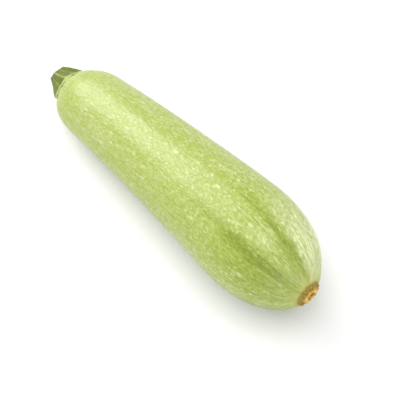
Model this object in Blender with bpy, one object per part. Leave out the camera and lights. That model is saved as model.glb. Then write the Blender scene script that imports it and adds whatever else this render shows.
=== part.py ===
"""A courgette, as picked, lying on its flattened underside.

Metres, +Z up, +X towards the blossom end. The origin is under the middle of the whole object, at the height
of the surface that it rests on. Angles around the fruit start at +Y and turn towards +Z.
"""

from math import acos, atan, atan2, cos, exp, pi, radians, sin, tan

import bmesh
import bpy
from mathutils import Vector

# Fruit: its length, the straight taper of its body, and the rounding of its two ends.
FRUIT_LENGTH = 0.2035
NECK_RADIUS = 0.0228
NECK_AT = 0.025
TAPER = 0.078
SHOULDER_REACH = 0.026
SHOULDER_FULLNESS = 2.4
TIP_REACH = 0.059
TIP_FULLNESS = 2.0
END_INSET = 0.0018
SIDEWAYS_BEND = 0.0033

# Five blunt angles run along the fruit and the stem. They are plainest at the two ends of the fruit.
ANGLES = 5
ANGLE_START = radians(30)
BODY_ANGULARITY = 0.010
END_ANGULARITY = 0.018

# The side that lay on the ground is flattened by this much.
GROUND_FLAT_DEPTH = 0.0004

# Stem: a ribbed stalk that widens into a foot on the fruit, and whose far end is cut aslant.
STEM_LENGTH = 0.0135
STEM_CUT_RADIUS = 0.0048
STEM_FOOT_RADIUS = 0.0114
STEM_FLARE = 1.1
STEM_RIB = 0.11
STEM_SWAY = 0.0004
STEM_CUT_SIDE_SLANT = radians(12)
STEM_CUT_TOP_SLANT = radians(20)
STEM_CUT_ROUNDING = 0.0005

# Blossom scar: a low dome of cork with a pit in the middle.
SCAR_RADIUS = 0.0085
SCAR_HEIGHT = 0.0026
SCAR_EDGE_HEIGHT = 0.0012
PIT_RADIUS = 0.0026
PIT_DEPTH = 0.0016

# The stem and the scar keep this gap to the fruit.
JOINT_GAP = 0.0003

FRUIT_RINGS = 42
FRUIT_SEGMENTS = 48
STEM_RINGS = 12
STEM_SEGMENTS = 40
SCAR_RINGS = 12
SCAR_SEGMENTS = 32


def clear_objects():
    for old in list(bpy.data.objects):
        bpy.data.objects.remove(old, do_unlink=True)


def new_collection(name):
    collection = bpy.data.collections.new(name)
    bpy.context.scene.collection.children.link(collection)
    return collection


def plain_material(name, colour, roughness):
    material = bpy.data.materials.new(name)
    material.use_nodes = True
    shader = material.node_tree.nodes["Principled BSDF"]
    shader.inputs["Base Color"].default_value = (*colour, 1.0)
    shader.inputs["Roughness"].default_value = roughness
    shader.inputs["Metallic"].default_value = 0.0
    return material


def ringed_solid(name, rings, segments, place, material, collection):
    """A closed skin of rings between two poles on the X axis. place(ring, angle) puts each point."""
    skin = bmesh.new()
    bmesh.ops.create_uvsphere(skin, u_segments=segments, v_segments=rings, radius=1.0)
    for vertex in skin.verts:
        from_first_pole = acos(max(-1.0, min(1.0, -vertex.co.z)))
        ring = round(rings * from_first_pole / pi)
        vertex.co = place(ring, atan2(vertex.co.y, vertex.co.x))
    mesh = bpy.data.meshes.new(name)
    skin.to_mesh(mesh)
    skin.free()
    mesh.shade_smooth()
    mesh.set_sharp_from_angle(angle=radians(50))
    mesh.materials.append(material)
    piece = bpy.data.objects.new(name, mesh)
    collection.objects.link(piece)
    return piece


def rounded_end(distance, reach, fullness):
    """1 where the end's rounding begins, 0 where it closes."""
    inward = max(0.0, 1.0 - distance / reach)
    return max(0.0, 1.0 - inward ** fullness) ** (1.0 / fullness)


def fruit_radius(along):
    body = NECK_RADIUS + TAPER * (along - NECK_AT)
    shoulder = rounded_end(along + END_INSET, SHOULDER_REACH, SHOULDER_FULLNESS)
    tip = rounded_end(FRUIT_LENGTH - along + END_INSET, TIP_REACH, TIP_FULLNESS)
    return body * shoulder * tip


def blunt_angles(angle, height):
    """1 on average, and more by height on each of the five angles."""
    return 1.0 + height * cos(ANGLES * (angle - ANGLE_START))


def fruit_point(ring, angle):
    """Rings crowd towards both ends, where the fruit rounds. The two poles close its ends."""
    length_share = 0.5 - 0.5 * cos(pi * ring / FRUIT_RINGS)
    along = FRUIT_LENGTH * length_share
    endness = (2.0 * length_share - 1.0) ** 2
    angularity = BODY_ANGULARITY + (END_ANGULARITY - BODY_ANGULARITY) * endness
    at_pole = ring in (0, FRUIT_RINGS)
    radius = 0.0 if at_pole else fruit_radius(along) * blunt_angles(angle, angularity)
    sideways = SIDEWAYS_BEND * 4.0 * length_share * (1.0 - length_share)
    return Vector((along, sideways + radius * cos(angle), radius * sin(angle)))


def stem_point(ring, angle):
    """The first pole is the middle of the cut face, the last is the middle of the foot."""
    towards_foot = max(0.0, min(1.0, (ring - 1) / (STEM_RINGS - 2)))
    towards_cut = 1.0 - towards_foot
    radius = STEM_CUT_RADIUS + (STEM_FOOT_RADIUS - STEM_CUT_RADIUS) * towards_foot ** STEM_FLARE
    radius *= blunt_angles(angle, STEM_RIB)
    if ring == 1:
        radius -= STEM_CUT_ROUNDING
    if ring in (0, STEM_RINGS):
        radius = 0.0
    y = radius * cos(angle) + STEM_SWAY * towards_cut ** 2
    z = radius * sin(angle)
    slant = y * tan(STEM_CUT_SIDE_SLANT * towards_cut) + z * tan(STEM_CUT_TOP_SLANT * towards_cut)
    return Vector((slant - JOINT_GAP - STEM_LENGTH * towards_cut, y, z))


def scar_height(radius):
    dome = (SCAR_HEIGHT - SCAR_EDGE_HEIGHT) * (1.0 - (radius / SCAR_RADIUS) ** 4)
    pit = PIT_DEPTH * exp(-(radius / PIT_RADIUS) ** 2)
    return SCAR_EDGE_HEIGHT + dome - pit


def scar_point(ring, angle):
    """The first pole is the middle of the flat back, and the last is the bottom of the pit."""
    if ring < 2:
        radius = SCAR_RADIUS * ring
        height = 0.0
    else:
        radius = SCAR_RADIUS * (SCAR_RINGS - ring) / (SCAR_RINGS - 2)
        height = scar_height(radius)
    return Vector((JOINT_GAP + height, radius * cos(angle), radius * sin(angle)))


def ground_cutter(ground_height, collection):
    """A block whose top is the ground. It takes the lowest sliver off the fruit, which leaves it flat."""
    size = 2.0 * FRUIT_LENGTH
    block = bmesh.new()
    bmesh.ops.create_cube(block, size=size)
    mesh = bpy.data.meshes.new("ground_cutter")
    block.to_mesh(mesh)
    block.free()
    cutter = bpy.data.objects.new("ground_cutter", mesh)
    cutter.location = (0.5 * FRUIT_LENGTH, 0.0, ground_height - 0.5 * size)
    cutter.hide_render = True
    cutter.display_type = "WIRE"
    collection.objects.link(cutter)
    return cutter


def cut_flat(fruit, cutter):
    flat = fruit.modifiers.new("ground flat", "BOOLEAN")
    flat.operation = "DIFFERENCE"
    flat.solver = "EXACT"
    flat.object = cutter


def world_corners(pieces):
    bpy.context.view_layer.update()
    points = [piece.matrix_world @ vertex.co for piece in pieces for vertex in piece.data.vertices]
    low = Vector([min(point[axis] for point in points) for axis in range(3)])
    high = Vector([max(point[axis] for point in points) for axis in range(3)])
    return low, high


def build_courgette():
    clear_objects()
    pieces = new_collection("courgette")
    cutters = new_collection("cutters")
    skin = plain_material("skin", (0.55, 0.66, 0.18), 0.35)
    stalk = plain_material("stalk", (0.24, 0.29, 0.08), 0.60)
    cork = plain_material("cork", (0.50, 0.33, 0.08), 0.80)

    fruit = ringed_solid("fruit", FRUIT_RINGS, FRUIT_SEGMENTS, fruit_point, skin, pieces)
    stem = ringed_solid("stem", STEM_RINGS, STEM_SEGMENTS, stem_point, stalk, pieces)
    scar = ringed_solid("blossom_scar", SCAR_RINGS, SCAR_SEGMENTS, scar_point, cork, pieces)
    scar.location.x = FRUIT_LENGTH

    # The taper tips the centre line up towards the blossom end, so that the underside lies level.
    lying = bpy.data.objects.new("lying_courgette", None)
    lying.rotation_euler.y = -atan(TAPER)
    pieces.objects.link(lying)
    for piece in (fruit, stem, scar):
        piece.parent = lying

    low, high = world_corners([fruit, stem, scar])
    ground_height = low.z + GROUND_FLAT_DEPTH
    cutter = ground_cutter(ground_height, cutters)
    cut_flat(fruit, cutter)
    to_origin = Vector((-0.5 * (low.x + high.x), -0.5 * (low.y + high.y), -ground_height))
    lying.location += to_origin
    cutter.location += to_origin


build_courgette()
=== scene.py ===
"""The finish of a courgette as picked: its skin, stalk and blossom scar, on a pale floor under soft light.

Metres, +Z up, +X towards the blossom end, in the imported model's frame. Each piece grew by a rule, so each is
a Geometry Nodes tree that wraps a grid into a closed skin of rings. Angles around the fruit start at +Y and
turn towards +Z. A place on a piece is first worked out in the courgette's own straight frame, where the
stalk end of the fruit is the origin and +X is the centre line. It is then leaned and seated where the CAD
fruit is.
"""

from math import atan, cos, pi, radians, sin

import bpy
from mathutils import Matrix, Vector


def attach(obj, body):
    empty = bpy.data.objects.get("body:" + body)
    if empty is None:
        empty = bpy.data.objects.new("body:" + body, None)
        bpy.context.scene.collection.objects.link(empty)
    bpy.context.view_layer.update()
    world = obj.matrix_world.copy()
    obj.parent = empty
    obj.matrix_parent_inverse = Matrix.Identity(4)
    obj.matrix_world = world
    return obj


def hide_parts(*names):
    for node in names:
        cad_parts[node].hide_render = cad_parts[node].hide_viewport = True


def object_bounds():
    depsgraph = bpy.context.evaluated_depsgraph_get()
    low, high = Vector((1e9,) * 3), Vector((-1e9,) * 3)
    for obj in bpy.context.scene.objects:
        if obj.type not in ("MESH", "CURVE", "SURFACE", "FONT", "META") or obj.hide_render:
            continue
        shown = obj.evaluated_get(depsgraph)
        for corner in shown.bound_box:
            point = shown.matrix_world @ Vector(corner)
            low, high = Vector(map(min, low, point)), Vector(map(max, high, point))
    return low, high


# The fruit's own rule, as the CAD has it: taper, rounded ends, sideways bend and five blunt angles.
NECK_RADIUS = 0.0228
NECK_AT = 0.025
TAPER = 0.078
SHOULDER_REACH = 0.026
SHOULDER_FULLNESS = 2.4
TIP_REACH = 0.059
TIP_FULLNESS = 2.0
END_INSET = 0.0018
SIDEWAYS_BEND = 0.0033
ANGLES = 5
ANGLE_START = radians(30)
BODY_ANGULARITY = 0.010
END_ANGULARITY = 0.018

# The stalk's and the scar's sizes, as the CAD has them.
STEM_LENGTH = 0.0135
STEM_CUT_RADIUS = 0.0048
STEM_FOOT_RADIUS = 0.0114
STEM_FLARE = 1.1
STEM_SWAY = 0.0004
STEM_CUT_SIDE_SLANT = radians(12)
STEM_CUT_TOP_SLANT = radians(20)
SCAR_RADIUS = 0.0085
SCAR_HEIGHT = 0.0026
SCAR_EDGE_HEIGHT = 0.0012
PIT_DEPTH = 0.0016
JOINT_GAP = 0.0003

# Where the finished pieces differ from the plain CAD ones: the stalk is a little wider and squarer at its
# cut, its five ridges turn on their way down, and ragged cork narrows the scar's pit.
STEM_RIDGE_START = radians(52)
STEM_RIDGE_TWIST = radians(24)
STEM_CUT_SPREAD = 0.0006
STEM_CUT_SQUARING = radians(8)
RAGGED_PIT_RADIUS = 0.0018

# Ten low ribs run along the skin. They stand wider apart on the upper side.
RIBS = 10
RIB_START = radians(26.6)
RIB_SPREAD = radians(6.9)
RIB_SPREAD_TOWARDS = radians(-10)

# Angles around the fruit where the skin's colour changes near the blossom end. It is painted paler on the
# first side, as light and a highlight from that side would show it, and is paler on the low side, partly in a
# pale band of its own and partly as painted light. Plain stripes and then a dull band lie between them.
PAINTED_LIGHT_ANGLE = radians(35)
STRIPED_ANGLE = radians(112)
DULL_ANGLE = radians(139)
LOW_ANGLE = radians(168)

# Patterns on the fruit and the stalk are laid on straight cylinders of these radii, so that they follow each
# piece's length. Every pattern starts at these shares of its own patch. Of six starts tried, this one was
# kept for where it lays the flecks.
FRUIT_PATTERN_RADIUS = 0.030
STEM_PATTERN_RADIUS = 0.008
PATTERN_START = (0.17, 0.13, 0.29)

# Points of a wrapped grid that are nearer than this are one point.
SEAM_WELD = 0.000001

# The floor lies a hair under the flattened underside, because two faces at one height would flicker.
FLOOR_DROP = 0.00005
FLOOR_HALF_WIDTH = 4.0

# Each softbox's place, the direction of its long side, its length, its width and how bright its face looks.
SOFTBOXES = {
    "back softbox": ((-1.17, -0.07, 0.92), (0.0, 1.0, 0.0), 1.9, 0.85, 4.3),
    "top softbox": ((0.09, -0.15, 1.50), (0.0, 1.0, 0.0), 1.3, 1.1, 2.4),
    "side softbox": ((0.25, 1.15, 0.95), (1.0, 0.0, 0.0), 2.0, 1.5, 0.25),
    "front softbox": ((1.20, -0.80, 0.50), (0.8, 1.2, 0.0), 1.3, 0.7, 1.7),
}

# How bright the plain studio is all round.
STUDIO_BRIGHTNESS = 0.85

# The camera looks down from beyond the blossom end, to a point a little past the middle.
CAMERA_AZIMUTH = radians(45.93)
CAMERA_ELEVATION = radians(63.24)
CAMERA_DISTANCE = 0.75
CAMERA_LENS = 114.2
AIM_FROM_MIDDLE = Vector((0.0190, -0.0005, -0.0085))


# ---------------------------------------------------------------------------------------------- node wiring

class Wire:
    """An output of a node. Arithmetic on wires adds Math nodes to their tree."""

    def __init__(self, tree, socket):
        self.tree = tree
        self.socket = socket

    def also(self, name):
        """Another output of the same node."""
        return Wire(self.tree, shown_socket(self.socket.node.outputs, name))

    def __add__(self, other):
        return self.tree.math("ADD", self, other)

    def __radd__(self, other):
        return self.tree.math("ADD", other, self)

    def __sub__(self, other):
        return self.tree.math("SUBTRACT", self, other)

    def __rsub__(self, other):
        return self.tree.math("SUBTRACT", other, self)

    def __mul__(self, other):
        return self.tree.math("MULTIPLY", self, other)

    def __rmul__(self, other):
        return self.tree.math("MULTIPLY", other, self)

    def __truediv__(self, other):
        return self.tree.math("DIVIDE", self, other)

    def __rtruediv__(self, other):
        return self.tree.math("DIVIDE", other, self)

    def __pow__(self, other):
        return self.tree.math("POWER", self, other)


def shown_socket(sockets, name):
    """The socket of this name that the node's settings have switched on."""
    return next(socket for socket in sockets if socket.name == name and socket.enabled)


def is_vector(value):
    if isinstance(value, Wire):
        return value.socket.type in {"VECTOR", "RGBA"}
    return isinstance(value, tuple)


class Tree:
    """A node tree that is being built. A socket is fed a Wire or a plain number, tuple or name."""

    def __init__(self, node_tree):
        self.node_tree = node_tree
        self.column_heights = {}

    def new(self, kind, **settings):
        node = self.node_tree.nodes.new(kind)
        for name, value in settings.items():
            setattr(node, name, value)
        return node

    def feed(self, socket, value):
        if isinstance(value, Wire):
            self.node_tree.links.new(value.socket, socket)
        elif socket.type == "VECTOR" and isinstance(value, (int, float)):
            socket.default_value = (value, value, value)
        elif socket.type == "RGBA":
            socket.default_value = (*value, 1.0)
        else:
            socket.default_value = value

    def settle(self, node):
        """Stands the node in the column after those that feed it, so that the tree reads left to right."""
        feeders = [link.from_node.location.x for socket in node.inputs for link in socket.links]
        column = max(feeders, default=-200.0) + 200.0
        height = self.column_heights.get(column, 0.0)
        node.location = (column, height)
        self.column_heights[column] = height - 180.0

    def add(self, kind, inputs=None, output=None, **settings):
        """Adds a node, feeds its named inputs and returns the named output, or its first."""
        node = self.new(kind, **settings)
        for name, value in (inputs or {}).items():
            self.feed(shown_socket(node.inputs, name), value)
        self.settle(node)
        socket = shown_socket(node.outputs, output) if output else node.outputs[0]
        return Wire(self, socket)

    def math(self, operation, *values):
        kind = "ShaderNodeVectorMath" if any(map(is_vector, values)) else "ShaderNodeMath"
        node = self.new(kind, operation=operation)
        for socket, value in zip(node.inputs, values):
            self.feed(socket, value)
        self.settle(node)
        return Wire(self, node.outputs[0])

    def cosine(self, angle):
        return self.math("COSINE", angle)

    def sine(self, angle):
        return self.math("SINE", angle)

    def at_least(self, value, floor):
        return self.math("MAXIMUM", value, floor)

    def at_most(self, value, ceiling):
        return self.math("MINIMUM", value, ceiling)

    def limited(self, value):
        return self.at_most(self.at_least(value, 0.0), 1.0)

    def vector(self, x, y, z):
        return self.add("ShaderNodeCombineXYZ", {"X": x, "Y": y, "Z": z})

    def parts(self, vector):
        """The X, Y and Z of a vector."""
        x = self.add("ShaderNodeSeparateXYZ", {"Vector": vector}, "X")
        return x, x.also("Y"), x.also("Z")

    def fade(self, value, start, end):
        """0 up to start, then smoothly to 1 at end. With start above end it falls from 1 to 0."""
        inputs = {"Value": value, "From Min": start, "From Max": end}
        return self.add("ShaderNodeMapRange", inputs, interpolation_type="SMOOTHSTEP")

    def hump(self, value, middle, width):
        """1 at the middle, falling away smoothly on both sides."""
        return self.math("EXPONENT", 0.0 - ((value - middle) / width) ** 2.0)

    def dot(self, vector, direction):
        """How far the vector reaches in this direction."""
        node = self.new("ShaderNodeVectorMath", operation="DOT_PRODUCT")
        self.feed(node.inputs[0], vector)
        self.feed(node.inputs[1], direction)
        self.settle(node)
        return Wire(self, node.outputs["Value"])

    def noise(self, place, size, detail=2.0, roughness=0.5):
        inputs = {"Vector": place, "Scale": 1.0 / size, "Detail": detail, "Roughness": roughness}
        return self.add("ShaderNodeTexNoise", inputs)

    def blend(self, amount, first, second):
        """The first colour where amount is 0 and the second where it is 1."""
        inputs = {"Factor": amount, "A": first, "B": second}
        return self.add("ShaderNodeMix", inputs, "Result", data_type="RGBA")


def socket_kind(value):
    if isinstance(value, bpy.types.Material):
        return "NodeSocketMaterial"
    if isinstance(value, int):
        return "NodeSocketInt"
    if isinstance(value, float):
        return "NodeSocketFloat"
    return "NodeSocketVector"


def named_inputs(node_tree, values):
    """Gives a node tree one named input for each value, and returns their wires by name."""
    for name, value in values.items():
        socket = node_tree.interface.new_socket(name, in_out="INPUT", socket_type=socket_kind(value))
        if not isinstance(value, bpy.types.Material):
            socket.default_value = value
    tree = Tree(node_tree)
    entry = tree.new("NodeGroupInput")
    tree.settle(entry)
    return tree, {name: Wire(tree, entry.outputs[name]) for name in values}


# ------------------------------------------------------------------------------------- growing closed skins

def growing_tree(name, sizes):
    """A Geometry Nodes tree with one named input for each of the sizes."""
    node_tree = bpy.data.node_groups.new(name, "GeometryNodeTree")
    node_tree.is_modifier = True
    node_tree.interface.new_socket("Geometry", in_out="OUTPUT", socket_type="NodeSocketGeometry")
    return named_inputs(node_tree, sizes)


def flat_grid(tree, size):
    """A grid to be wrapped, with the share of the way along it and the angle around at each point."""
    inputs = {"Size X": 1.0, "Size Y": 1.0, "Vertices X": size["Rings"], "Vertices Y": size["Segments"]}
    grid = tree.add("GeometryNodeMeshGrid", inputs, "Mesh")
    x, y, _ = tree.parts(tree.add("GeometryNodeInputPosition"))
    return grid, x + 0.5, (y + 0.5) * (2.0 * pi)


def on_cylinder(tree, along, radius, angle):
    """The place this far along the X axis and this far out from it, at this angle around it."""
    return tree.vector(along, radius * tree.cosine(angle), radius * tree.sine(angle))


def remember(tree, geometry, name, value, kind="FLOAT", domain="POINT"):
    """Stores a value on the geometry under a name that the materials can read."""
    inputs = {"Geometry": geometry, "Name": name, "Value": value}
    return tree.add("GeometryNodeStoreNamedAttribute", inputs, data_type=kind, domain=domain)


def recall(tree, name, kind="FLOAT"):
    """The value that remember() stored under this name."""
    return tree.add("GeometryNodeInputNamedAttribute", {"Name": name}, "Attribute", data_type=kind)


def wrapped(tree, grid, place, pattern_place, marks):
    """Moves the grid's points to their places and closes the seam and the two poles. The marks are values to
    remember at each point, by name."""
    marked = remember(tree, grid, "OFBake", grid.also("UV Map"), "FLOAT2", "CORNER")
    marked = remember(tree, marked, "grown place", pattern_place, "FLOAT_VECTOR")
    for name, value in marks.items():
        marked = remember(tree, marked, name, value)
    moved = tree.add("GeometryNodeSetPosition", {"Geometry": marked, "Position": place})
    outward = tree.add("GeometryNodeFlipFaces", {"Mesh": moved})
    closed = tree.add("GeometryNodeMergeByDistance", {"Geometry": outward, "Distance": SEAM_WELD})
    return tree.add("GeometryNodeSetShadeSmooth", {"Geometry": closed})


def random_value(tree, size, low, high):
    """A number, or a turn about each axis, that each copy draws for itself."""
    kind = "FLOAT_VECTOR" if is_vector(low) else "FLOAT"
    inputs = {"Min": low, "Max": high, "Seed": size["Seed"]}
    return tree.add("FunctionNodeRandomValue", inputs, "Value", data_type=kind)


def scattered(tree, size, surface, density, spike, shortest, longest, lean):
    """Stands copies of the spike on the surface, each of its own length and leaning its own way."""
    spots = tree.add(
        "GeometryNodeDistributePointsOnFaces",
        {"Mesh": surface, "Density": density, "Seed": size["Seed"]},
        "Points",
        distribute_method="RANDOM",
    )
    length = random_value(tree, size, shortest, longest)
    standing = tree.add(
        "GeometryNodeInstanceOnPoints",
        {"Points": spots, "Instance": spike, "Rotation": spots.also("Rotation"), "Scale": length},
    )
    turn = random_value(tree, size, tuple(-angle for angle in lean), lean)
    leaning = tree.add("GeometryNodeRotateInstances", {"Instances": standing, "Rotation": turn})
    return tree.add("GeometryNodeRealizeInstances", {"Geometry": leaning})


def joined(tree, *parts):
    both = tree.new("GeometryNodeJoinGeometry")
    for part in parts:
        tree.feed(both.inputs[0], part)
    tree.settle(both)
    return Wire(tree, both.outputs[0])


def seated(tree, size, geometry):
    """Leans and seats the piece, keeps it within the CAD's box, and ends the tree."""
    inputs = {"Geometry": geometry, "Translation": size["Seat"], "Rotation": size["Lean"]}
    leaned = tree.add("GeometryNodeTransform", inputs)
    position = tree.add("GeometryNodeInputPosition")
    inside = tree.at_most(tree.at_least(position, size["Box Low"]), size["Box High"])
    kept = tree.add("GeometryNodeSetPosition", {"Geometry": leaned, "Position": inside})
    real = tree.add("GeometryNodeRealizeInstances", {"Geometry": kept})
    finished = tree.add("GeometryNodeSetMaterial", {"Geometry": real, "Material": size["Finish"]})
    end = tree.new("NodeGroupOutput")
    tree.feed(end.inputs[0], finished)
    tree.settle(end)


def grow(name, rule, sizes):
    """Runs a growing rule with these sizes, and keeps the result as a plain mesh."""
    tree, inputs = growing_tree(name + " rule", sizes)
    rule(tree, inputs)
    piece = bpy.data.objects.new(name, bpy.data.meshes.new(name))
    bpy.context.scene.collection.objects.link(piece)
    modifier = piece.modifiers.new("grow", "NODES")
    modifier.node_group = tree.node_tree
    for item in tree.node_tree.interface.items_tree:
        if item.in_out == "INPUT":
            value = sizes[item.name]
            modifier[item.identifier] = tuple(value) if isinstance(value, Vector) else value
    graph = bpy.context.evaluated_depsgraph_get()
    grown = bpy.data.meshes.new_from_object(
        piece.evaluated_get(graph), preserve_all_data_layers=True, depsgraph=graph
    )
    piece.modifiers.remove(modifier)
    piece.data = grown
    return piece


# ------------------------------------------------------------------------------------------------ the fruit

def rounded_end(tree, distance, reach, fullness):
    """1 where the end's rounding begins, 0 where it closes."""
    inward = tree.at_least(1.0 - distance / reach, 0.0)
    return tree.at_least(1.0 - inward ** fullness, 0.0) ** (1.0 / fullness)


def smooth_radius(tree, size, along):
    """The fruit's radius this far along it, before its angles, ribs and unevenness."""
    body = size["Neck Radius"] + size["Taper"] * (along - size["Neck At"])
    inset = size["End Inset"]
    shoulder = rounded_end(tree, along + inset, size["Shoulder Reach"], size["Shoulder Fullness"])
    to_tip = size["Length"] - along + inset
    return body * shoulder * rounded_end(tree, to_tip, size["Tip Reach"], size["Tip Fullness"])


def rib_wave(tree, angle):
    """1 on the crest of each of the ten ribs, 0 in the furrows between them."""
    spread = angle + RIB_SPREAD * tree.cosine(angle - RIB_SPREAD_TOWARDS)
    return 0.5 + 0.5 * tree.cosine(RIBS * (spread - RIB_START))


def fruit_rule(tree, size):
    """Rings crowd towards both ends, where the fruit rounds. The first and last few close its ends flat."""
    grid, share, angle = flat_grid(tree, size)
    closing = size["Closing Share"]
    ring_share = tree.limited((share - closing) / (1.0 - 2.0 * closing))
    openness = tree.limited(tree.at_most(share, 1.0 - share) / closing)
    length_share = 0.5 - 0.5 * tree.cosine(ring_share * pi)
    along = size["Length"] * length_share
    to_tip = size["Length"] - along

    endness = (2.0 * length_share - 1.0) ** 2.0
    angularity = size["Body Angularity"] + (size["End Angularity"] - size["Body Angularity"]) * endness
    angled = 1.0 + angularity * tree.cosine(ANGLES * (angle - ANGLE_START))

    pattern_place = on_cylinder(tree, along, FRUIT_PATTERN_RADIUS, angle)
    crest = rib_wave(tree, angle)
    at_stalk = tree.fade(along, size["Stalk Furrow Reach"], 0.0)
    at_blossom = tree.fade(to_tip, size["Blossom Furrow Reach"], 0.0)
    furrow = size["Body Furrow"] + size["Stalk Furrow"] * at_stalk + size["Blossom Furrow"] * at_blossom
    waves = tree.noise(pattern_place, size["Unevenness Size"], 1.0)
    lengthened = pattern_place * tree.vector(size["Ripple Shortening"], 1.0, 1.0)
    ripples = tree.noise(lengthened, size["Ripple Size"], 2.0)
    wander = size["Pleat Wander"] * (tree.noise(pattern_place, size["Pleat Wander Size"], 1.0) - 0.5)
    pleats = 0.5 + 0.5 * tree.cosine(size["Pleats"] * angle + wander)
    pleated = tree.fade(to_tip, size["Pleat Reach"], 0.0) + tree.fade(along, size["Pleat Reach"], 0.0)
    relief = furrow * (1.0 - crest) + size["Unevenness"] * waves + size["Ripple"] * ripples
    relief = relief + size["Pleat"] * pleated * pleats

    radius = openness * (smooth_radius(tree, size, along) * angled - relief)
    sideways = size["Sideways Bend"] * 4.0 * length_share * (1.0 - length_share)
    place = on_cylinder(tree, along, radius, angle) + tree.vector(0.0, sideways, 0.0)
    seated(tree, size, wrapped(tree, grid, place, pattern_place, {"rib crest": crest}))


def grow_fruit(frame_sizes, skin):
    sizes = {
        "Length": frame_sizes["Fruit Length"],
        "Neck Radius": NECK_RADIUS,
        "Neck At": NECK_AT,
        "Taper": TAPER,
        "Shoulder Reach": SHOULDER_REACH,
        "Shoulder Fullness": SHOULDER_FULLNESS,
        "Tip Reach": TIP_REACH,
        "Tip Fullness": TIP_FULLNESS,
        "End Inset": END_INSET,
        "Sideways Bend": SIDEWAYS_BEND,
        "Body Angularity": BODY_ANGULARITY,
        "End Angularity": END_ANGULARITY,
        "Body Furrow": 0.00007,
        "Stalk Furrow": 0.0007,
        "Stalk Furrow Reach": 0.022,
        "Blossom Furrow": 0.0006,
        "Blossom Furrow Reach": 0.030,
        "Unevenness": 0.0005,
        "Unevenness Size": 0.030,
        "Ripple": 0.00012,
        "Ripple Size": 0.0035,
        "Ripple Shortening": 0.4,
        "Pleat": 0.0004,
        "Pleats": 23.0,
        "Pleat Reach": 0.012,
        "Pleat Wander": 6.0,
        "Pleat Wander Size": 0.010,
        "Closing Share": 0.012,
        "Rings": 420,
        "Segments": 221,
        **frame_sizes["Seating"],
        "Finish": skin,
    }
    return grow("courgette_skin", fruit_rule, sizes)


# ------------------------------------------------------------------------------------------------ the stalk

def stem_rule(tree, size):
    """The grid starts at the middle of the cut face, crosses it, runs down the ribbed side, spreads over the
    fruit's shoulder and closes inside the fruit."""
    grid, share, angle = flat_grid(tree, size)
    across_cut = tree.limited(share / size["Cut Share"])
    openness = tree.limited((1.0 - share) / size["Closing Share"])
    side_share = 1.0 - size["Cut Share"] - size["Closing Share"]
    reach = 1.0 + size["Foot Overrun"]
    towards_foot = tree.limited((share - size["Cut Share"]) / side_share) * reach
    towards_cut = 1.0 - tree.at_most(towards_foot, 1.0)
    face = 1.0 - tree.fade(share, size["Cut Share"] * 0.94, size["Cut Share"] * 1.04)

    grown_length = towards_foot * size["Length"] + face * (across_cut - 1.0) * size["Cut Radius"]
    place_on_side = on_cylinder(tree, grown_length, STEM_PATTERN_RADIUS, angle)
    radius = size["Cut Radius"] + (size["Foot Radius"] - size["Cut Radius"]) * towards_foot ** size["Flare"]
    around = ANGLES * (angle - STEM_RIDGE_START + size["Twist"] * towards_foot)
    major = (0.5 + 0.5 * tree.cosine(around)) ** size["Rib Sharpness"]
    minor = (0.5 - 0.5 * tree.cosine(around)) ** size["Minor Rib Sharpness"]
    fading = tree.fade(towards_foot, reach, 0.95)
    ribs = size["Rib"] * (2.0 * major - 1.0) + size["Minor Rib"] * minor
    lengthened = place_on_side * tree.vector(size["Fibre Shortening"], 1.0, 1.0)
    fibres = tree.noise(lengthened, size["Fibre Size"], 3.0, 0.6) - 0.5
    knobbly = tree.noise(place_on_side, size["Knob Size"], 1.0) - 0.5
    place_on_cut = on_cylinder(tree, 0.0, size["Cut Radius"] * across_cut, angle)
    ragged = tree.noise(place_on_cut, size["Cut Ragged Size"], 2.0) - 0.5
    radius = radius * (1.0 + ribs * fading) + size["Fibre"] * fibres + size["Knob"] * knobbly
    rounding = size["Cut Rounding"] * across_cut ** 8.0 * face
    radius = openness * across_cut * (radius - rounding)

    bulge = size["Bulge"] * tree.fade(towards_cut, 0.0, 0.6)
    y = radius * tree.cosine(angle) + size["Sway"] * towards_cut ** 2.0 + bulge
    z = radius * tree.sine(angle) + bulge
    side_slant = y * tree.math("TANGENT", size["Cut Side Slant"] * towards_cut)
    top_slant = z * tree.math("TANGENT", size["Cut Top Slant"] * towards_cut)
    pith = size["Pith Depth"] * tree.fade(across_cut, size["Pith Edge"], size["Pith Floor"])
    bundle_ring = tree.hump(across_cut, size["Bundles At"], size["Bundle Width"])
    bundles = bundle_ring * tree.cosine(2.0 * ANGLES * angle)
    cut_relief = face * (pith + rounding + size["Cut Ragged"] * ragged - size["Bundle Height"] * bundles)
    along = side_slant + top_slant + cut_relief - size["Gap"] - size["Length"] * (1.0 - towards_foot)

    ridge = tree.limited(major ** 14.0 + 0.6 * minor ** 4.0)
    marks = {"stalk ridge": ridge, "cut face": face, "bristle": 0.0}
    stalk = wrapped(tree, grid, tree.vector(along, y, z), place_on_side, marks)
    seated(tree, size, joined(tree, bristles(tree, size, stalk), stalk))


def bristles(tree, size, stalk):
    """Short stiff hairs, each a four-sided spike, that stand on the stalk's side."""
    grown_x, _, _ = tree.parts(recall(tree, "grown place", "FLOAT_VECTOR"))
    below_cut = tree.fade(grown_x, 0.0, 0.1 * size["Length"])
    above_foot = tree.fade(grown_x, size["Length"], 0.8 * size["Length"])
    spike = tree.add(
        "GeometryNodeMeshCone",
        {
            "Vertices": 4,
            "Radius Top": 0.0,
            "Radius Bottom": size["Bristle Radius"],
            "Depth": size["Bristle Length"],
        },
        "Mesh",
    )
    spike = remember(tree, spike, "bristle", 1.0)
    density = below_cut * above_foot * size["Bristle Density"]
    return scattered(tree, size, stalk, density, spike, 0.5, 1.2, (0.5, 0.5, 0.0))


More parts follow.
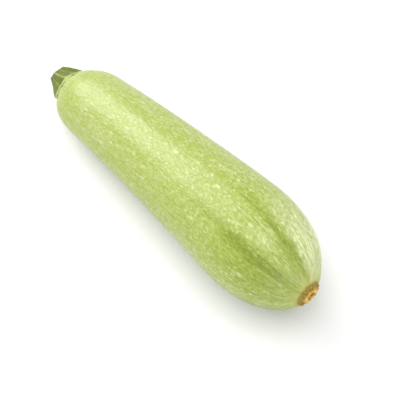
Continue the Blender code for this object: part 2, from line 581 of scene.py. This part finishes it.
def grow_stem(frame_sizes, stalk):
    sizes = {
        "Length": STEM_LENGTH,
        "Cut Radius": STEM_CUT_RADIUS + STEM_CUT_SPREAD,
        "Foot Radius": STEM_FOOT_RADIUS,
        "Flare": STEM_FLARE,
        "Foot Overrun": 0.16,
        "Gap": JOINT_GAP,
        "Sway": STEM_SWAY,
        "Twist": STEM_RIDGE_TWIST,
        "Bulge": 0.0008,
        "Cut Side Slant": STEM_CUT_SIDE_SLANT - STEM_CUT_SQUARING,
        "Cut Top Slant": STEM_CUT_TOP_SLANT,
        "Cut Rounding": 0.0004,
        "Cut Ragged": 0.0004,
        "Cut Ragged Size": 0.0018,
        "Pith Depth": 0.0012,
        "Pith Edge": 0.52,
        "Pith Floor": 0.30,
        "Bundles At": 0.70,
        "Bundle Width": 0.12,
        "Bundle Height": 0.0001,
        "Rib": 0.11,
        "Rib Sharpness": 1.5,
        "Minor Rib": 0.05,
        "Minor Rib Sharpness": 6.0,
        "Fibre": 0.0004,
        "Fibre Size": 0.0011,
        "Fibre Shortening": 0.12,
        "Knob": 0.0008,
        "Knob Size": 0.005,
        "Bristle Length": 0.0011,
        "Bristle Radius": 0.00010,
        "Bristle Density": 400000.0,
        "Seed": 4,
        "Cut Share": 0.14,
        "Closing Share": 0.04,
        "Rings": 170,
        "Segments": 181,
        **frame_sizes["Seating"],
        "Finish": stalk,
    }
    return grow("stalk", stem_rule, sizes)


# ----------------------------------------------------------------------------------------- the blossom scar

def scar_rule(tree, size):
    """The grid starts behind the scar, inside the fruit, turns over the ragged rim, climbs the ring of cork
    and ends at the bottom of the pit."""
    grid, share, angle = flat_grid(tree, size)
    back = tree.limited(share / size["Back Share"])
    front = tree.limited((share - size["Back Share"]) / (1.0 - size["Back Share"]))
    radius_share = back * (1.0 - front)

    round_place = on_cylinder(tree, 0.0, radius_share, angle)
    lobes = tree.noise(round_place, size["Lobe Size"], 2.0) - 0.5
    at_rim = tree.fade(radius_share, 0.6, 1.0)
    radius = size["Radius"] * radius_share * (1.0 + size["Lobe"] * lobes * at_rim)

    dome = (size["Height"] - size["Edge Height"]) * (1.0 - radius_share ** 4.0)
    pit = size["Pit Depth"] * tree.hump(radius, 0.0, size["Pit Radius"])
    ring = size["Ring Height"] * tree.hump(radius_share, size["Ring At"], size["Ring Width"])
    groove = size["Groove Depth"] * tree.hump(radius_share, size["Groove At"], size["Groove Width"])
    on_face = on_cylinder(tree, 0.0, radius, angle)
    cells = tree.add(
        "ShaderNodeTexVoronoi",
        {"Vector": on_face, "Scale": 1.0 / size["Crack Spacing"], "Randomness": 1.0},
        "Distance",
        feature="DISTANCE_TO_EDGE",
    )
    crack = tree.fade(cells, size["Crack Width"], 0.0)
    lumps = tree.noise(on_face, size["Lump Size"], 3.0, 0.6) - 0.5
    height = size["Edge Height"] + dome + ring - pit - groove + size["Lump"] * lumps
    height = height - size["Crack Depth"] * crack - size["Ring Height"]
    edge = tree.fade(front, 0.0, size["Edge Share"])
    along = size["Gap"] - size["Sunk"] * (1.0 - edge) + height * edge
    place = on_cylinder(tree, size["Fruit Length"] + along, radius, angle)

    pit_bottom = tree.hump(radius, 0.0, 0.6 * size["Pit Radius"])
    marks = {"crack": crack, "pit": pit_bottom, "rim": radius_share}
    cork = wrapped(tree, grid, place, on_face, marks)
    seated(tree, size, joined(tree, flakes(tree, size, cork), cork))


def flakes(tree, size, cork):
    """Small torn tips of cork, each a flattened spike, that stand on the ring and around the pit."""
    rim = recall(tree, "rim")
    on_ring = tree.hump(rim, 0.90, 0.07) + 0.7 * tree.hump(rim, 0.50, 0.10)
    facing_out, _, _ = tree.parts(tree.add("GeometryNodeInputNormal"))
    spike = tree.add(
        "GeometryNodeMeshCone",
        {
            "Vertices": 5,
            "Radius Top": 0.0,
            "Radius Bottom": size["Flake Radius"],
            "Depth": size["Flake Length"],
        },
        "Mesh",
    )
    flattening = tree.vector(1.0, size["Flake Thinness"], 1.0)
    spike = tree.add("GeometryNodeTransform", {"Geometry": spike, "Scale": flattening})
    density = on_ring * tree.fade(facing_out, 0.2, 0.5) * size["Flake Density"]
    return scattered(tree, size, cork, density, spike, 0.4, 1.1, (0.6, 0.6, 3.1))


def grow_scar(frame_sizes, cork):
    sizes = {
        "Fruit Length": frame_sizes["Fruit Length"],
        "Radius": SCAR_RADIUS,
        "Height": SCAR_HEIGHT,
        "Edge Height": SCAR_EDGE_HEIGHT,
        "Pit Radius": RAGGED_PIT_RADIUS,
        "Pit Depth": PIT_DEPTH,
        "Gap": JOINT_GAP,
        "Sunk": 0.0015,
        "Ring Height": 0.0005,
        "Ring At": 0.52,
        "Ring Width": 0.12,
        "Groove Depth": 0.0005,
        "Groove At": 0.80,
        "Groove Width": 0.08,
        "Lobe": 0.30,
        "Lobe Size": 0.36,
        "Crack Spacing": 0.0024,
        "Crack Width": 0.16,
        "Crack Depth": 0.00055,
        "Lump": 0.0009,
        "Lump Size": 0.0016,
        "Flake Length": 0.0006,
        "Flake Radius": 0.00035,
        "Flake Thinness": 0.35,
        "Flake Density": 600000.0,
        "Seed": 7,
        "Back Share": 0.08,
        "Edge Share": 0.10,
        "Rings": 130,
        "Segments": 201,
        **frame_sizes["Seating"],
        "Finish": cork,
    }
    return grow("blossom_scar_cork", scar_rule, sizes)


# ------------------------------------------------------------------------------------ finishes they share

def shader_effect(name, inputs, build):
    """A shader node group with named inputs, whose one output is the amount of the effect at each point."""
    node_tree = bpy.data.node_groups.new(name, "ShaderNodeTree")
    node_tree.interface.new_socket("Amount", in_out="OUTPUT", socket_type="NodeSocketFloat")
    tree, wires = named_inputs(node_tree, inputs)
    end = tree.new("NodeGroupOutput")
    tree.feed(end.inputs[0], build(tree, wires))
    tree.settle(end)
    return node_tree


def lengthwise(tree, given):
    """The place measured in patches, which are longer along the piece than around it."""
    patch = tree.vector(given["Length"], given["Width"], given["Width"])
    return given["Place"] / patch + PATTERN_START


def grain_amount(tree, given):
    """Cloudy grain around 0.5."""
    inputs = {"Vector": lengthwise(tree, given), "Scale": 1.0, "Detail": 3.0, "Roughness": 0.6}
    cloud = tree.add("ShaderNodeTexNoise", inputs)
    return tree.limited(0.5 + given["Contrast"] * (cloud - 0.5))


def fleck_amount(tree, given):
    """Soft round-cornered spots of unlike sizes, with 1 in the middle of each and 0 between them."""
    place = lengthwise(tree, given)
    wandering = tree.add("ShaderNodeTexNoise", {"Vector": place, "Scale": 2.3}, "Color")
    shifted = place + (wandering - (0.5, 0.5, 0.5)) * (0.35, 0.35, 0.35)
    cells = tree.add(
        "ShaderNodeTexVoronoi", {"Vector": shifted, "Scale": 1.0, "Randomness": 1.0}, "Distance"
    )
    chance, spread, _ = tree.parts(cells.also("Color"))
    reach = given["Size"] * (0.45 + 0.55 * spread)
    spot = tree.fade(cells, reach, reach * 0.20)
    return spot * tree.math("LESS_THAN", chance, given["Share"])


ANY_PLACE = Vector((0.0, 0.0, 0.0))
GRAIN = shader_effect(
    "Lengthwise Grain",
    {"Place": ANY_PLACE, "Length": 0.002, "Width": 0.001, "Contrast": 1.0},
    grain_amount,
)
FLECKS = shader_effect(
    "Flecks",
    {"Place": ANY_PLACE, "Length": 0.004, "Width": 0.002, "Size": 0.4, "Share": 0.6},
    fleck_amount,
)


def use(tree, effect, **inputs):
    """Places a shared effect in a material with that material's own values."""
    node = tree.new("ShaderNodeGroup", node_tree=effect)
    for name, value in inputs.items():
        tree.feed(node.inputs[name.title()], value)
    tree.settle(node)
    return Wire(tree, node.outputs["Amount"])


def palette(tree, amount, stops):
    """A colour for each amount, from (amount, colour) stops."""
    node = tree.new("ShaderNodeValToRGB")
    ramp = node.color_ramp
    while len(ramp.elements) < len(stops):
        ramp.elements.new(0.5)
    for element, (position, colour) in zip(ramp.elements, stops):
        element.position = position
        element.color = (*colour, 1.0)
    tree.feed(node.inputs[0], amount)
    tree.settle(node)
    return Wire(tree, node.outputs["Color"])


def painted(red, green, blue):
    """A colour as it looks on a screen, 0 to 255, in the shader's linear values."""
    shares = [value / 255.0 for value in (red, green, blue)]
    return tuple(share / 12.92 if share <= 0.04045 else ((share + 0.055) / 1.055) ** 2.4 for share in shares)


def new_material(name):
    """A new material, with its tree to build on and its Principled shader."""
    material = bpy.data.materials.new(name)
    material.use_nodes = True
    return material, Tree(material.node_tree), material.node_tree.nodes["Principled BSDF"]


def remembered(tree, name, output="Fac"):
    """The value that a piece's growing rule remembered under this name."""
    return tree.add("ShaderNodeAttribute", {}, output, attribute_name=name)


def bumped(tree, height, distance):
    """The normal of a surface raised by this height, where 1 is this distance."""
    inputs = {"Height": height, "Distance": distance, "Strength": 1.0}
    return tree.add("ShaderNodeBump", inputs, "Normal")


# ------------------------------------------------------------------------------------------- the skin finish

DEEP_GREEN = painted(98, 116, 0)
FURROW_GREEN = painted(115, 134, 2)
LEAF_GREEN = painted(141, 156, 57)
PALE_GREEN = painted(168, 178, 118)
CREAM_GREEN = painted(200, 208, 150)
RIPE_YELLOW = painted(178, 172, 66)
BARK_OLIVE = painted(120, 110, 34)


def skin_patterns(tree, place):
    """The amount of each pattern in the skin, by name."""
    beside = place + (0.001, 0.002, 0.0)
    return {
        "clouds": use(tree, GRAIN, place=place, length=0.030, width=0.012, contrast=1.6),
        "network": use(tree, GRAIN, place=place, length=0.0026, width=0.0013, contrast=2.8),
        "streaks": use(tree, GRAIN, place=place, length=0.014, width=0.0010, contrast=3.0),
        "broad streaks": use(tree, GRAIN, place=place, length=0.050, width=0.0035, contrast=2.0),
        "large flecks": use(tree, FLECKS, place=place, length=0.0068, width=0.0042, size=0.44, share=0.75),
        "small flecks": use(tree, FLECKS, place=place, length=0.0030, width=0.0020, size=0.50, share=0.90),
        "dark flecks": use(tree, FLECKS, place=beside, length=0.0024, width=0.0016, size=0.40, share=0.45),
        "blemishes": use(tree, FLECKS, place=place, length=0.016, width=0.012, size=0.07, share=0.5),
    }


def facing(tree, place, angle, start, end):
    """1 on the side of the fruit at this angle, and less further round it. start and end are cosines."""
    side = (0.0, cos(angle), sin(angle))
    return tree.fade(tree.dot(place / FRUIT_PATTERN_RADIUS, side), start, end)


def skin_paleness(tree, place, along, fruit_length, pattern):
    """How pale the skin is, from 0 in the darkest furrow to 1 in the palest fleck."""

    def between(start, end):
        """0 at one share of the fruit's length, and 1 at the other."""
        return tree.fade(along, start * fruit_length, end * fruit_length)

    painted_light_side = facing(tree, place, PAINTED_LIGHT_ANGLE, 0.62, 0.86)
    striped = facing(tree, place, STRIPED_ANGLE, 0.78, 0.96)
    dull_side = facing(tree, place, DULL_ANGLE, 0.965, 0.995)
    # On the wider half the low side is painted paler: partly a pale band of the skin's own and partly painted
    # light.
    low_side = facing(tree, place, LOW_ANGLE, 0.93, 0.99)

    neckness = between(0.40, 0.08)
    # Painted shade: the skin is painted darker all round the shoulder at the stalk end.
    shoulder = between(0.13, 0.04)
    at_stalk = between(0.08, 0.0)
    tipness = between(0.45, 0.90)
    wide_half = between(0.52, 0.68)
    near_ends = at_stalk + between(0.60, 0.95)
    near_scar = tree.fade(fruit_length - along, 0.012, 0.004)

    # Painted light: towards the blossom end the skin is painted paler on one side, as light and a highlight
    # from that side would show it.
    painted_light_amount = painted_light_side * (0.18 * wide_half + 0.82 * between(0.70, 0.95))
    dull = dull_side * between(0.79, 0.88) * (1.0 - near_scar)
    tone = 0.425 + 0.04 * neckness - 0.12 * shoulder + 0.10 * at_stalk - 0.20 * tipness
    tone = tone + 0.58 * painted_light_amount + 0.14 * low_side * wide_half - 0.15 * dull
    tone = tone + near_scar * (0.08 - 0.15 * painted_light_amount)

    crest = remembered(tree, "rib crest")
    rib = tree.fade(crest + 0.6 * (pattern["broad streaks"] - 0.5), 0.0, 0.45)
    striping = (0.06 + between(0.55, 0.92) * (0.10 + 0.26 * striped)) * (1.0 - 0.4 * near_scar)
    mottling = 0.33 + 0.15 * tipness + 0.10 * painted_light_side
    mottle = 0.15 * (pattern["clouds"] - 0.5) + mottling * (pattern["network"] - 0.5)
    lines = (0.10 + 0.22 * near_ends) * (pattern["streaks"] - 0.5)
    flecks = (0.22 + 0.10 * rib) * pattern["large flecks"] + 0.26 * pattern["small flecks"]
    flecks = (flecks - 0.32 * pattern["dark flecks"]) * (1.0 - 0.6 * neckness)
    return 0.20 + 0.80 * (tone + striping * (rib - 0.72) + mottle + lines + flecks)


def skin_material(fruit_length):
    material, tree, shader = new_material("courgette skin")
    place = remembered(tree, "grown place", "Vector")
    along, _, _ = tree.parts(place)
    pattern = skin_patterns(tree, place)
    streaks, blemishes = pattern["streaks"], pattern["blemishes"]

    greens = [
        (0.0, DEEP_GREEN),
        (0.20, FURROW_GREEN),
        (0.504, LEAF_GREEN),
        (0.76, PALE_GREEN),
        (1.0, CREAM_GREEN),
    ]
    green = palette(tree, skin_paleness(tree, place, along, fruit_length, pattern), greens)

    # Next to the scar the skin yellows and then browns, in streaks. Blemishes are brown too.
    to_scar = fruit_length - along
    yellowing = tree.fade(to_scar, 0.0050, 0.0) * (0.10 + 0.80 * streaks)
    browning = tree.fade(to_scar, 0.0010, 0.0) * (0.25 + 0.75 * streaks)
    browned = tree.limited(browning + 0.7 * blemishes)
    colour = tree.blend(browned, tree.blend(yellowing, green, RIPE_YELLOW), BARK_OLIVE)
    tree.feed(shader.inputs["Base Color"], colour)

    roughness = 0.34 - 0.08 * pattern["small flecks"] + 0.10 * (pattern["clouds"] - 0.5)
    tree.feed(shader.inputs["Roughness"], roughness)

    height = 0.6 * pattern["network"] + 0.8 * pattern["large flecks"] + 0.5 * pattern["small flecks"]
    height = height + 0.3 * streaks - 0.5 * blemishes
    tree.feed(shader.inputs["Normal"], bumped(tree, height, 0.00014))

    # Light goes a little way into the watery flesh, and the skin has a thin natural wax.
    shader.inputs["Subsurface Weight"].default_value = 0.15
    shader.inputs["Subsurface Radius"].default_value = (0.6, 1.0, 0.25)
    shader.inputs["Subsurface Scale"].default_value = 0.003
    shader.inputs["Specular IOR Level"].default_value = 0.8
    return material


# ------------------------------------------------------------------------------- the stalk and cork finishes

STALK_GROOVE = painted(78, 92, 14)
STALK_OLIVE = painted(104, 116, 46)
STALK_PALE = painted(150, 158, 90)
COLLAR_GREEN = painted(160, 170, 100)
BRISTLE_GREY = painted(138, 144, 100)
CUT_DRY = painted(110, 110, 74)


def stalk_material():
    material, tree, shader = new_material("courgette stalk")
    place = remembered(tree, "grown place", "Vector")
    ridge = remembered(tree, "stalk ridge")
    along, _, _ = tree.parts(place)
    face = remembered(tree, "cut face")
    fibres = use(tree, GRAIN, place=place, length=0.008, width=0.0005, contrast=2.4)
    mottle = use(tree, GRAIN, place=place, length=0.006, width=0.0035, contrast=2.2)
    warts = use(tree, FLECKS, place=place, length=0.0016, width=0.0010, size=0.35, share=0.35)
    paleness = 0.30 + 0.55 * ridge + 0.45 * (fibres - 0.5) + 0.50 * (mottle - 0.5) + 0.25 * warts
    green = palette(tree, paleness, [(0.0, STALK_GROOVE), (0.6, STALK_OLIVE), (1.0, STALK_PALE)])
    collar = tree.fade(along, 1.01 * STEM_LENGTH, 1.09 * STEM_LENGTH)
    dried = tree.blend(face, tree.blend(collar, green, COLLAR_GREEN), CUT_DRY)
    colour = tree.blend(remembered(tree, "bristle"), dried, BRISTLE_GREY)
    tree.feed(shader.inputs["Base Color"], colour)
    tree.feed(shader.inputs["Roughness"], 0.62 + 0.15 * (mottle - 0.5))
    tree.feed(shader.inputs["Normal"], bumped(tree, fibres + 0.6 * warts, 0.00015))
    shader.inputs["Specular IOR Level"].default_value = 0.25
    return material


CORK_OLIVE = painted(138, 120, 42)
CORK_BROWN = painted(116, 88, 20)
CORK_TAN = painted(188, 151, 60)
CORK_PALE = painted(234, 206, 134)


def cork_material():
    material, tree, shader = new_material("blossom scar cork")
    place = remembered(tree, "grown place", "Vector")
    rim = remembered(tree, "rim")
    crack = remembered(tree, "crack")
    pit = remembered(tree, "pit")
    grain = use(tree, GRAIN, place=place, length=0.0008, width=0.0008, contrast=2.6)
    patches = use(tree, GRAIN, place=place, length=0.0030, width=0.0030, contrast=2.2)
    pores = use(tree, FLECKS, place=place, length=0.0009, width=0.0009, size=0.35, share=0.4)
    ring = tree.hump(rim, 0.50, 0.13)
    lightness = 0.42 + 0.54 * ring + 0.60 * (patches - 0.5) + 0.45 * (grain - 0.5)
    # Darker towards the bottom of the pit: partly the scar's own dark middle and partly painted shade in the
    # pit.
    lightness = lightness - 0.34 * crack - 0.70 * pit - 0.30 * pores
    cork = palette(tree, lightness, [(0.0, CORK_BROWN), (0.55, CORK_TAN), (1.0, CORK_PALE)])
    outer = tree.fade(rim + 0.5 * (patches - 0.5), 0.62, 0.94)
    colour = tree.blend(0.8 * outer, cork, CORK_OLIVE)
    tree.feed(shader.inputs["Base Color"], colour)
    tree.feed(shader.inputs["Roughness"], 0.80 + 0.15 * (patches - 0.5))
    tree.feed(shader.inputs["Normal"], bumped(tree, grain - pores, 0.0002))
    return material


# ------------------------------------------------------------------------------------ the frame, and seating

def sizes_from_frame(frame):
    """Where the CAD fruit lies: its length, and how its straight frame is leaned and seated."""
    lean = -atan(TAPER)
    upright = Matrix.Rotation(-lean, 3, "Y")
    vertices = frame["nodes"]["fruit"].data.vertices
    along = [(upright @ vertex.co).x for vertex in vertices]
    stalk_end = vertices[along.index(min(along))].co
    low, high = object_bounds()
    return {
        "Fruit Length": max(along) - min(along),
        "Seating": {
            "Lean": Vector((0.0, lean, 0.0)),
            "Seat": stalk_end.copy(),
            "Box Low": Vector(low),
            "Box High": Vector(high),
        },
    }


# ----------------------------------------------------------------------------------- floor, light and camera

def lay_floor():
    mesh = bpy.data.meshes.new("floor")
    signs = [(-1, -1), (1, -1), (1, 1), (-1, 1)]
    corners = [(x * FLOOR_HALF_WIDTH, y * FLOOR_HALF_WIDTH, -FLOOR_DROP) for x, y in signs]
    mesh.from_pydata(corners, [], [(0, 1, 2, 3)])
    material, tree, shader = new_material("pale floor")
    place = tree.add("ShaderNodeTexCoord", {}, "Object")
    faint = tree.noise(place, 0.4, 1.0)
    tree.feed(shader.inputs["Base Color"], tree.blend(faint, (0.72, 0.72, 0.72), (0.74, 0.74, 0.74)))
    shader.inputs["Roughness"].default_value = 0.9
    shader.inputs["Specular IOR Level"].default_value = 0.1
    mesh.materials.append(material)
    floor = bpy.data.objects.new("floor", mesh)
    bpy.context.scene.collection.objects.link(floor)


def softbox(name, place, long_side, length, width, brightness):
    """A rectangular light that faces the courgette, with its length along the direction of long_side."""
    light = bpy.data.lights.new(name, "AREA")
    light.shape = "RECTANGLE"
    light.size = length
    light.size_y = width
    light.energy = brightness * pi * length * width
    lamp = bpy.data.objects.new(name, light)
    backward = Vector(place).normalized()
    sideways = Vector(long_side)
    sideways = (sideways - sideways.dot(backward) * backward).normalized()
    turned = Matrix((sideways, backward.cross(sideways), backward)).transposed()
    lamp.matrix_world = Matrix.Translation(place) @ turned.to_4x4()
    bpy.context.scene.collection.objects.link(lamp)


def light_scene():
    for name, (place, long_side, length, width, brightness) in SOFTBOXES.items():
        softbox(name, place, long_side, length, width, brightness)
    world = bpy.data.worlds.new("pale studio")
    world.use_nodes = True
    background = world.node_tree.nodes["Background"]
    background.inputs["Color"].default_value = (1.0, 1.0, 1.0, 1.0)
    background.inputs["Strength"].default_value = STUDIO_BRIGHTNESS
    bpy.context.scene.world = world
    bpy.context.scene.view_settings.view_transform = "Standard"


def place_camera(middle):
    target = middle + AIM_FROM_MIDDLE
    level = cos(CAMERA_ELEVATION)
    towards = Vector((level * sin(CAMERA_AZIMUTH), -level * cos(CAMERA_AZIMUTH), sin(CAMERA_ELEVATION)))
    data = bpy.data.cameras.new("camera")
    data.lens = CAMERA_LENS
    data.clip_start = 0.01
    camera = bpy.data.objects.new("camera", data)
    camera.location = target + CAMERA_DISTANCE * towards
    camera.rotation_euler = (-towards).to_track_quat("-Z", "Y").to_euler()
    bpy.context.scene.collection.objects.link(camera)
    bpy.context.scene.camera = camera


# ------------------------------------------------------------------------------------------------ everything

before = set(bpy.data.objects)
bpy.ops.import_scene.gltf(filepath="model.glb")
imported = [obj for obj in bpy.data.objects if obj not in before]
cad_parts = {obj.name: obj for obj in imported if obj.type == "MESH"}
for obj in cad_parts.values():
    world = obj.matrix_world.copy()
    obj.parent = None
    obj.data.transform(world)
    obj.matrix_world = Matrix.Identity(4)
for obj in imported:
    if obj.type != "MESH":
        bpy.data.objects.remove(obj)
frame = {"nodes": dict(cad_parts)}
cad_low, cad_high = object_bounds()
frame_sizes = sizes_from_frame(frame)
place_camera(0.5 * (Vector(cad_low) + Vector(cad_high)))
light_scene()
lay_floor()

skin = grow_fruit(frame_sizes, skin_material(frame_sizes["Fruit Length"]))
stalk = grow_stem(frame_sizes, stalk_material())
cork = grow_scar(frame_sizes, cork_material())

for piece, node, slot in ((skin, "fruit", "skin"), (stalk, "stem", "stalk"), (cork, "blossom_scar", "cork")):
    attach(piece, "root")
    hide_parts(node)
